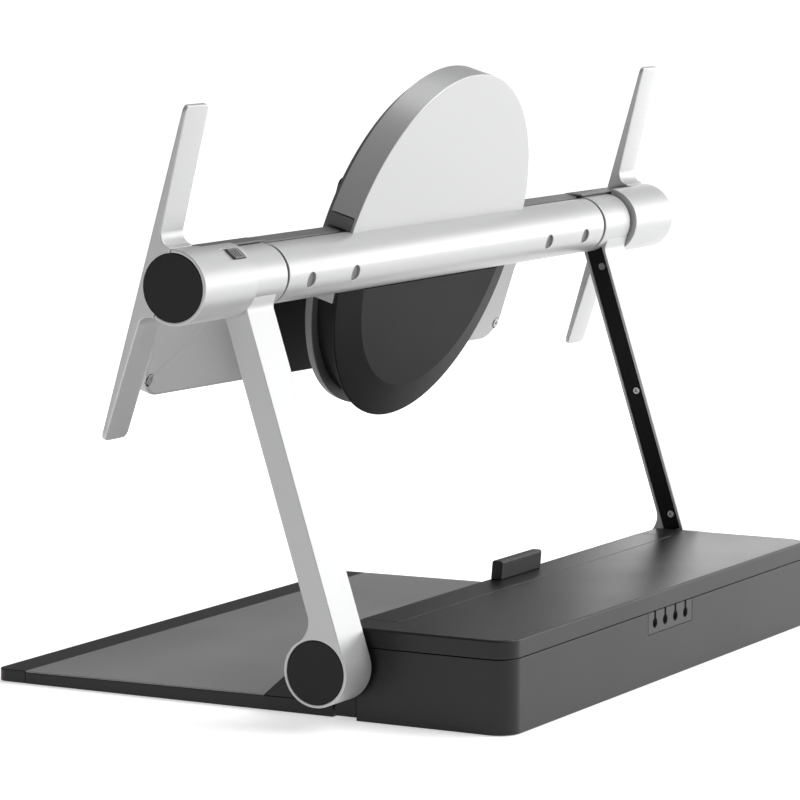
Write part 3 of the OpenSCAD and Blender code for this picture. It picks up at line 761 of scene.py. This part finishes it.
@dataclass
class SubAssembly:
    """A group of pieces that are built and dressed together."""

    palette: Palette
    title: ClassVar[str] = "sub-assembly"

    def __post_init__(self) -> None:
        """Start with no pieces."""
        self.pieces: list[bpy.types.Object] = []

    def keep(self, piece: bpy.types.Object, body: str, finish: str, nodes: Sequence[str],
             crease_deg: float = CREASE_DEG) -> bpy.types.Object:
        """Shade and dress a piece, and fix it to the body that it moves with.

        Args:
            piece: The piece.
            body: The CAD body.
            finish: The finish's name.
            nodes: The CAD nodes that it stands for.
            crease_deg: Edges that turn by more than this stay crisp.

        Returns:
            The piece.
        """
        shade(piece, crease_deg)
        self.palette.apply(piece, finish, nodes[0])
        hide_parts(*nodes)
        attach(piece, body)
        self.pieces.append(piece)
        return piece

    def from_cad(self, node: str, body: str, finish: str, radius: float, segments: int = 3,
                 crease_deg: float = CREASE_DEG,
                 first: Sequence[tuple[float, Callable[[Vector], bool]]] = (),
                 ) -> bpy.types.Object:
        """Build a piece on a CAD node's shape, with real edges.

        Args:
            node: The CAD node.
            body: The body that it moves with.
            finish: The finish's name.
            radius: The rounding of its edges, in mm.
            segments: The number of facets over an edge.
            crease_deg: Edges that turn by more than this stay crisp.
            first: Larger roundings, each with where it goes.

        Returns:
            The piece.
        """
        shape = from_node(node)
        for larger, where in first:
            shape.soften(larger, LARGE_SEGMENTS, where=where)
        if radius > 0:
            shape.soften(radius, segments)
        piece = shape.object(node + "_piece", STAND.base)
        return self.keep(piece, body, finish, [node], crease_deg)

    def report(self) -> None:
        """Log each piece of this sub-assembly."""
        for piece in self.pieces:
            LOG.info("%s: %s, %d faces", self.title, piece.name, len(piece.data.polygons))


# ---------------------------------------------------------------------------------------------
# The sub-assemblies
# ---------------------------------------------------------------------------------------------


@dataclass
class Base(SubAssembly):
    """The weighted base: tray, box, rail, bumper, grommet, hinge brackets and feet."""

    title: ClassVar[str] = "base"
    fine_edge: float = 0.35
    tray_edge: float = 0.7
    mat_edge: float = 0.25
    rail_edge: float = 0.5
    bumper_edge: float = 1.0
    grommet_edge: float = 0.3
    foot_edge: float = 0.4
    bracket_edge: float = 0.6
    ramp_edge: float = 1.0

    def build(self) -> None:
        """Build and dress every visible piece of the base."""
        body = "base"
        self.from_cad("box_shell", body, "graphite_shell", self.fine_edge)
        self.from_cad("tray_plate", body, "graphite_shell", self.fine_edge)
        self.from_cad("tray_front_strip", body, "graphite_shell", self.tray_edge)
        self.from_cad("tray_mat", body, "tray_mat_rubber", self.mat_edge, 2)
        self.from_cad("front_rail", body, "graphite_shell", self.rail_edge)
        self.from_cad("bumper", body, "soft_black_rubber", self.bumper_edge)
        self.from_cad("cable_grommet", body, "grommet_grey", self.grommet_edge, 2)
        self.from_cad("rubber_feet", body, "soft_black_rubber", self.foot_edge, 2)
        for side in ("left", "right"):
            self.from_cad(f"hinge_bracket_{side}", body, "painted_bracket", self.bracket_edge)
            self.from_cad(f"hinge_ramp_{side}", body, "graphite_shell", self.ramp_edge)
        self.report()


@dataclass
class Lid(SubAssembly):
    """The lid of the cable bay."""

    title: ClassVar[str] = "lid"
    top_edge: float = 1.5
    fine_edge: float = 0.4
    rail_room: float = 2.0
    groove_room: float = 1.0
    rim_depth: float = 0.05

    def build(self) -> None:
        """Build and dress the lid."""
        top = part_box("lid")[1].z / MM
        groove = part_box("front_rail")[1].y / MM
        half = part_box("front_rail")[1].x / MM + self.rail_room

        def rim(middle: Vector) -> bool:
            """Tell whether an edge's middle is on the lid's outer top rim."""
            by_rail = abs(middle.x) < half and middle.y < groove + self.groove_room
            return middle.z > top - self.rim_depth and not by_rail

        self.from_cad("lid", "lid", "graphite_shell", self.fine_edge,
                      first=[(self.top_edge, rim)])
        self.report()


@dataclass
class Arms(SubAssembly):
    """The two arms with their hubs, collars, caps and inner covers."""

    title: ClassVar[str] = "arms"
    x0: float = 257.2
    x1: float = 292.6
    hub_r: float = 24.3
    front: float = 6.1
    fillet_r: float = 16.0
    elbow_drop: float = 23.5
    elbow_r: float = 8.0
    elbow_turn: float = 50.0
    collar_r: float = 21.7
    collar_x: Point2 = (247.2, 291.1)
    bore_r: float = 14.0
    cap_r: float = 22.1
    cap_t: float = 3.0
    wall: float = 2.4
    edge: float = 0.8
    top_cut: float = 12.0
    pocket_low: float = 20.3
    pocket_high: float = 257.5
    pocket_depth: float = 6.0
    hub_bore_r: float = 10.0
    hub_floor: float = 14.0
    collar_edge: float = 1.0
    past: float = 1.0

    def outline(self) -> list[Point2]:
        """Draw the side view of an arm, from the hub up to the middle of the collar.

        Returns:
            The outline's points.
        """
        length, axis = STAND.arm_l, STAND.axis_e
        reach = math.sqrt((self.hub_r + self.fillet_r) ** 2 - (self.front - self.fillet_r) ** 2)
        middle = Vector((self.front - self.fillet_r, reach))
        start = math.degrees(math.atan2(middle.y, middle.x))
        turn = math.radians(self.elbow_turn)
        back = rounded([
            (self.hub_r, 0.0, 0.0),
            (self.hub_r, length - self.elbow_drop, self.elbow_r),
            (axis + self.collar_r * math.cos(turn), length - self.collar_r * math.sin(turn), 0.0),
        ], closed=False)
        top = [(axis, length), (self.front, length - self.top_cut)]
        sweep = -(90 - math.degrees(math.atan2(-middle.x, middle.y)))
        fillet = arc(tuple(middle), self.fillet_r, 0.0, sweep, 12)
        hub = arc((0.0, 0.0), self.hub_r, start, 360.0, 56)
        return back + top + fillet + hub[1:-1]

    def shell(self, left: bool) -> bpy.types.Object:
        """Build one arm with its hub and collar.

        Args:
            left: Whether it is the left arm.

        Returns:
            The piece.
        """
        side = "left" if left else "right"
        arm = Body().prism(self.outline(), self.x0, self.x1).object(
            f"arm_shell_{side}_piece", STAND.arm, left)
        front, back = self.front + self.wall, self.hub_r - self.wall
        low, high = self.pocket_low, self.pocket_high
        outside = self.x0 - self.past
        pocket = Body().prism([(front, low), (back, low), (back, high), (front, high)],
                              outside, self.x0 + self.pocket_depth)
        recess = Body().turned(self.plug(self.x1 - self.cap_t, self.x1 + self.past, self.cap_r))
        bore = Body().turned(self.plug(outside, self.x1 - self.hub_floor, self.hub_bore_r))
        cut(arm, [pocket.object("pocket_tool", STAND.arm, left),
                  recess.object("recess_tool", STAND.arm, left),
                  bore.object("bore_tool", STAND.arm, left)])
        resoften(arm, self.edge)
        join(arm, self.collar(left))
        return arm

    @staticmethod
    def plug(start: float, end: float, radius: float) -> list[Point2]:
        """Return the profile of a plain cylinder, as (x, radius) corners."""
        return [(start, 0), (start, radius), (end, radius), (end, 0)]

    def collar(self, left: bool) -> bpy.types.Object:
        """Build the collar that an arm holds the head by.

        Args:
            left: Whether it is the left arm's.

        Returns:
            The collar.
        """
        low, high = self.collar_x
        whole, part = self.collar_edge, self.collar_edge * 0.3
        ring = Body().turned(
            [(low, self.bore_r), (low, self.collar_r - whole), (low + part, self.collar_r - part),
             (low + whole, self.collar_r), (high - whole, self.collar_r),
             (high - part, self.collar_r - part), (high, self.collar_r - whole),
             (high, self.bore_r)],
            Vector((0, STAND.axis_e, STAND.arm_l)), 128)
        return ring.object("collar_part", STAND.arm, left)

    def build(self) -> None:
        """Build and dress both arms."""
        for left in (True, False):
            side = "left" if left else "right"
            self.keep(self.shell(left), "arms", "satin_silver", [f"arm_shell_{side}"], 24.0)
            self.from_cad(f"hub_cap_{side}", "arms", "cap_black", 0.5)
            self.from_cad(f"arm_inner_cover_{side}", "arms", "black_moulding_and_painted_shade", 0.35)
        self.from_cad("arm_cover_screws", "arms", "brushed_steel", 0.25, 2)
        self.report()


@dataclass
class Head(SubAssembly):
    """The tilting head: beam, barrels, rail, disc and covers."""

    title: ClassVar[str] = "head"
    beam_top: float = 21.8
    cover_sink: float = 1.2
    cover_edge: float = 0.6
    fine_edge: float = 0.45

    def build(self) -> None:
        """Build and dress every visible piece of the head."""
        body = "head"
        self.from_cad("cross_beam", body, "satin_silver", self.fine_edge)
        self.from_cad("beam_plugs", body, "grey_trim", 0.4, 2)
        # The rail's finish is silver with painted shade: it is darker than the beam to stand in for
        # the shade on its top.
        self.from_cad("yoke_rail", body, "rail_silver_painted_shade", 0.8)
        self.from_cad("head_disc", body, "disc_grey", 0.8)
        cover = from_node("upper_cover").sink_below(self.beam_top, self.cover_sink, STAND.head)
        cover.soften(self.cover_edge)
        self.keep(cover.object("upper_cover_piece", STAND.base), body, "satin_silver",
                  ["upper_cover"])
        # The lower cover's near-black finish carries painted shade for the gap behind the disc edge.
        self.from_cad("lower_cover", body, "black_moulding_and_painted_shade", 0.7, 3, 9.0)
        for side in ("left", "right"):
            self.from_cad(f"barrel_{side}", body, "satin_silver", 0.7)
            self.from_cad(f"end_cap_{side}", body, "cap_black", 0.6)
            self.from_cad(f"seal_ring_{side}", body, "black_moulding_and_painted_shade", 0.4)
            self.from_cad(f"rim_block_{side}", body, "grey_trim", 0.4)
            self.from_cad(f"saddle_{side}", body, "wing_silver", 0.8)
        self.from_cad("lock_slider", "lock_slider", "grey_trim", 0.25, 2)
        self.report()


@dataclass
class DisplayMount(SubAssembly):
    """The turning display mount: housing, wings, centre panel and screws."""

    title: ClassVar[str] = "display mount"
    plate_n: float = -56.0
    bend_r: float = 2.3
    bend_x: float = 113.0
    ear_u: float = -54.5
    screw: Point2 = (261.5, -99.5)
    screw_room: float = 5.0
    plate_room: float = 0.1

    def on_bend(self, middle: Vector) -> bool:
        """Tell whether an edge lies on the outer bend of a wing.

        Args:
            middle: The edge's middle.

        Returns:
            Whether it does.
        """
        p = STAND.mount.inverted() @ middle
        by_screw = math.hypot(abs(p.x) - self.screw[0], p.z - self.screw[1]) < self.screw_room
        on_plate = abs(p.y - self.plate_n) < self.plate_room
        return on_plate and abs(p.x) > self.bend_x and p.z < self.ear_u and not by_screw

    def build(self) -> None:
        """Build and dress the mount."""
        body = "display_mount"
        self.from_cad("turn_housing", body, "black_moulding_and_painted_shade", 1.0)
        self.from_cad("centre_panel", body, "black_moulding_and_painted_shade", 0.8)
        for side in ("left", "right"):
            self.from_cad(f"mount_wing_{side}", body, "wing_silver", 0.5,
                          first=[(self.bend_r, self.on_bend)])
        self.from_cad("wing_screws", body, "brushed_steel", 0.3, 2)
        self.report()


@dataclass
class Levers(SubAssembly):
    """The two release levers at the ends of the head."""

    title: ClassVar[str] = "levers"
    x0: float = 333.2
    x1: float = 361.6
    front: float = -25.65
    split: float = -8.9
    up: float = 119.0
    down: float = 117.0
    tip_t: float = 3.2
    root_t: float = 7.2
    root_u: float = 26.0
    ring_u: float = 24.7
    root_fillet: float = 8.5
    tip_r: float = 4.6
    edge: float = 1.0
    crown: float = 0.35
    ring_round: float = 0.9
    core_r: float = 18.5
    cap_r: float = 23.15
    cap_t: float = 3.7
    past: float = 1.0
    end_gaps: tuple[float, ...] = (0.25, 0.6, 1.1, 1.8, 2.7, 3.8, 5.2, 7.0, 10.0, 16.0)

    def stations(self) -> list[tuple[float, float]]:
        """Choose places up the lever.

        Returns:
            Each place, with where the rear face lies there.
        """
        tip, root = self.front + self.tip_t, self.front + self.root_t
        line = rounded([
            (-self.down, tip, 0), (-self.root_u, root, self.root_fillet),
            (-self.ring_u, self.split, self.ring_round), (self.ring_u, self.split, self.ring_round),
            (self.root_u, root, self.root_fillet), (self.up, tip, 0)],
            closed=False, step_deg=6.0)
        places = {round(u, 3) for u, _ in line} | {float(u) for u in range(-90, 100, 15)}
        for gap in self.end_gaps:
            places |= {round(self.up - gap, 3), round(gap - self.down, 3)}
        return [(u, self.rear(u, line)) for u in sorted(places)]

    @staticmethod
    def rear(u: float, line: Sequence[Point2]) -> float:
        """Find where the rear face lies.

        Args:
            u: The place up the lever.
            line: The rear face's points.

        Returns:
            The rear face's place there.
        """
        for (u0, n0), (u1, n1) in zip(line, line[1:]):
            if u0 <= u <= u1 and u1 > u0:
                return n0 + (n1 - n0) * (u - u0) / (u1 - u0)
        return line[-1][1] if u > line[-1][0] else line[0][1]

    @staticmethod
    def round_off(gap: float, radius: float) -> float:
        """Return how far a rounded end stands in, at a gap from its tip."""
        return radius - math.sqrt(max(radius ** 2 - max(radius - gap, 0.0) ** 2, 0.0))

    def section(self, u: float, rear: float) -> list[Vector]:
        """Return the ring of points round the lever at one place.

        Args:
            u: The place up the lever.
            rear: Where the rear face lies.

        Returns:
            The ring.
        """
        gap = min(self.up - u, u + self.down)
        inset, nip = self.round_off(gap, self.tip_r), self.round_off(gap, self.edge)
        x0, x1 = self.x0 + inset, self.x1 - inset
        n0, n1 = self.front + nip * 0.8, rear - nip * 0.8
        r = min(self.edge, (n1 - n0) * 0.42)
        bulge = self.crown if rear < self.split - 0.5 else 0.0
        ring = []
        for cx, cn, start in ((x1 - r, n0 + r, -90), (x1 - r, n1 - r, 0), (x0 + r, n1 - r, 90),
                              (x0 + r, n0 + r, 180)):
            ring += [Vector((x, n, u)) for x, n in arc((cx, cn), r, start, start + 90, 4)]
            if start == 0:
                for k in range(1, 8):
                    t = k / 8
                    x = x1 - r + (x0 - x1 + 2 * r) * t
                    ring.append(Vector((x, n1 + bulge * (4 * t * (1 - t)), u)))
        return ring

    def blade(self, left: bool) -> bpy.types.Object:
        """Build one lever.

        Args:
            left: Whether it is the left lever.

        Returns:
            The piece.
        """
        side = "left" if left else "right"
        rings = [self.section(u, rear) for u, rear in self.stations()]
        piece = Body().skin(rings).object(f"lever_{side}_piece", STAND.head, left)
        inner, outer = self.x0 - self.past, self.x1 + self.past
        seat = self.x1 - self.cap_t
        tool = Body().turned(
            [(inner, 0), (inner, self.core_r), (seat, self.core_r), (seat, self.cap_r),
             (outer, self.cap_r), (outer, 0)],
            steps=128).object("core_tool", STAND.head, left)
        cut(piece, [tool])
        return piece

    def build(self) -> None:
        """Build and dress both levers."""
        for left in (True, False):
            side = "left" if left else "right"
            self.keep(self.blade(left), f"lever_{side}", "satin_silver", [f"lever_{side}"], 32.0)
        self.report()


# ---------------------------------------------------------------------------------------------
# Studio
# ---------------------------------------------------------------------------------------------


@dataclass
class Studio:
    """The plain pale floor, the soft light and the camera."""

    azimuth: float = 118.81
    elevation: float = 6.917
    look: Colour = (0.03213, 0.0035, 0.19296)
    distance: float = 3.02806
    lens: float = 185.6
    sensor: float = 36.0
    far_clip: float = 500.0
    floor_size: float = 120.0
    sky: float = 0.20
    key: float = 2.15
    key_from: Colour = (-0.42, 0.80, 0.75)
    key_softness: float = 42.0
    floor_glow: float = 0.55
    panels: tuple[tuple[str, Colour, float, float, float], ...] = (
        ("rear_panel", (-3.2, 2.2, 0.7), 3.0, 1.6, 2.8),
        ("far_panel", (-1.45, -0.10, 0.42), 0.9, 0.6, 2.2),
        ("top_panel", (-1.0, 0.5, 2.8), 2.6, 2.6, 1.4),
    )

    def floor(self) -> None:
        """Lay the floor."""
        half = self.floor_size / 2 / MM
        body = Body()
        corners = [(-half, -half), (half, -half), (half, half), (-half, half)]
        verts = [body.bm.verts.new((x, y, 0)) for x, y in corners]
        body.bm.faces.new(verts)
        floor = body.object("floor", STAND.base)
        paint = Paint("pale_floor")
        veil = paint.noise(400.0, 2.0)
        material = paint.dress(Base_Color=paint.mix(veil, (0.86, 0.86, 0.86), (0.89, 0.89, 0.89)),
                               Roughness=0.9, Specular_IOR_Level=0.1,
                               Emission_Color=(1.0, 1.0, 1.0, 1.0),
                               Emission_Strength=self.floor_glow)
        floor.data.materials.append(material)

    def light(self) -> None:
        """Set the sky and the broad key light."""
        world = bpy.data.worlds.new("studio_sky")
        world.use_nodes = True
        background = world.node_tree.nodes["Background"]
        background.inputs["Color"].default_value = (1.0, 1.0, 1.0, 1.0)
        background.inputs["Strength"].default_value = self.sky
        bpy.context.scene.world = world
        lamp = bpy.data.lights.new("key", "SUN")
        lamp.energy, lamp.angle = self.key, math.radians(self.key_softness)
        key = bpy.data.objects.new("key", lamp)
        key.rotation_euler = Vector(self.key_from).to_track_quat("Z", "Y").to_euler()
        bpy.context.scene.collection.objects.link(key)
        for name, place, width, height, glow in self.panels:
            self.panel(name, Vector(place), width, height, glow)

    def panel(self, name: str, place: Vector, width: float, height: float, glow: float) -> None:
        """Hang a soft panel that shows only in reflections and light.

        Args:
            name: Its name.
            place: Its middle, in metres. It faces the stand.
            width: Its width.
            height: Its height.
            glow: Its radiance.
        """
        lamp = bpy.data.lights.new(name, "AREA")
        lamp.shape, lamp.size, lamp.size_y = "RECTANGLE", width, height
        lamp.energy = glow * math.pi * width * height
        panel = bpy.data.objects.new(name, lamp)
        panel.location = place
        panel.rotation_euler = (place - Vector(self.look)).to_track_quat("Z", "Y").to_euler()
        panel.visible_camera = False
        bpy.context.scene.collection.objects.link(panel)

    def camera(self) -> None:
        """Place the camera."""
        a, e = math.radians(self.azimuth), math.radians(self.elevation)
        back = Vector((math.sin(a) * math.cos(e), -math.cos(a) * math.cos(e), math.sin(e)))
        data = bpy.data.cameras.new("camera")
        data.lens, data.sensor_width, data.clip_end = self.lens, self.sensor, self.far_clip
        camera = bpy.data.objects.new("camera", data)
        camera.location = Vector(self.look) + back * self.distance
        camera.rotation_euler = back.to_track_quat("Z", "Y").to_euler()
        bpy.context.scene.collection.objects.link(camera)
        bpy.context.scene.camera = camera

    def build(self) -> None:
        """Build the studio."""
        bpy.context.scene.view_settings.view_transform = "Standard"
        self.floor()
        self.light()
        self.camera()


def main() -> None:
    """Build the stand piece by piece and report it."""
    logging.basicConfig(level=logging.INFO, format="%(message)s")
    palette = Palette()
    palette.dress_cad_nodes()
    Studio().build()
    for assembly in (Base, Lid, Arms, Head, DisplayMount, Levers):
        assembly(palette).build()


if __name__ == "__main__":
    main()
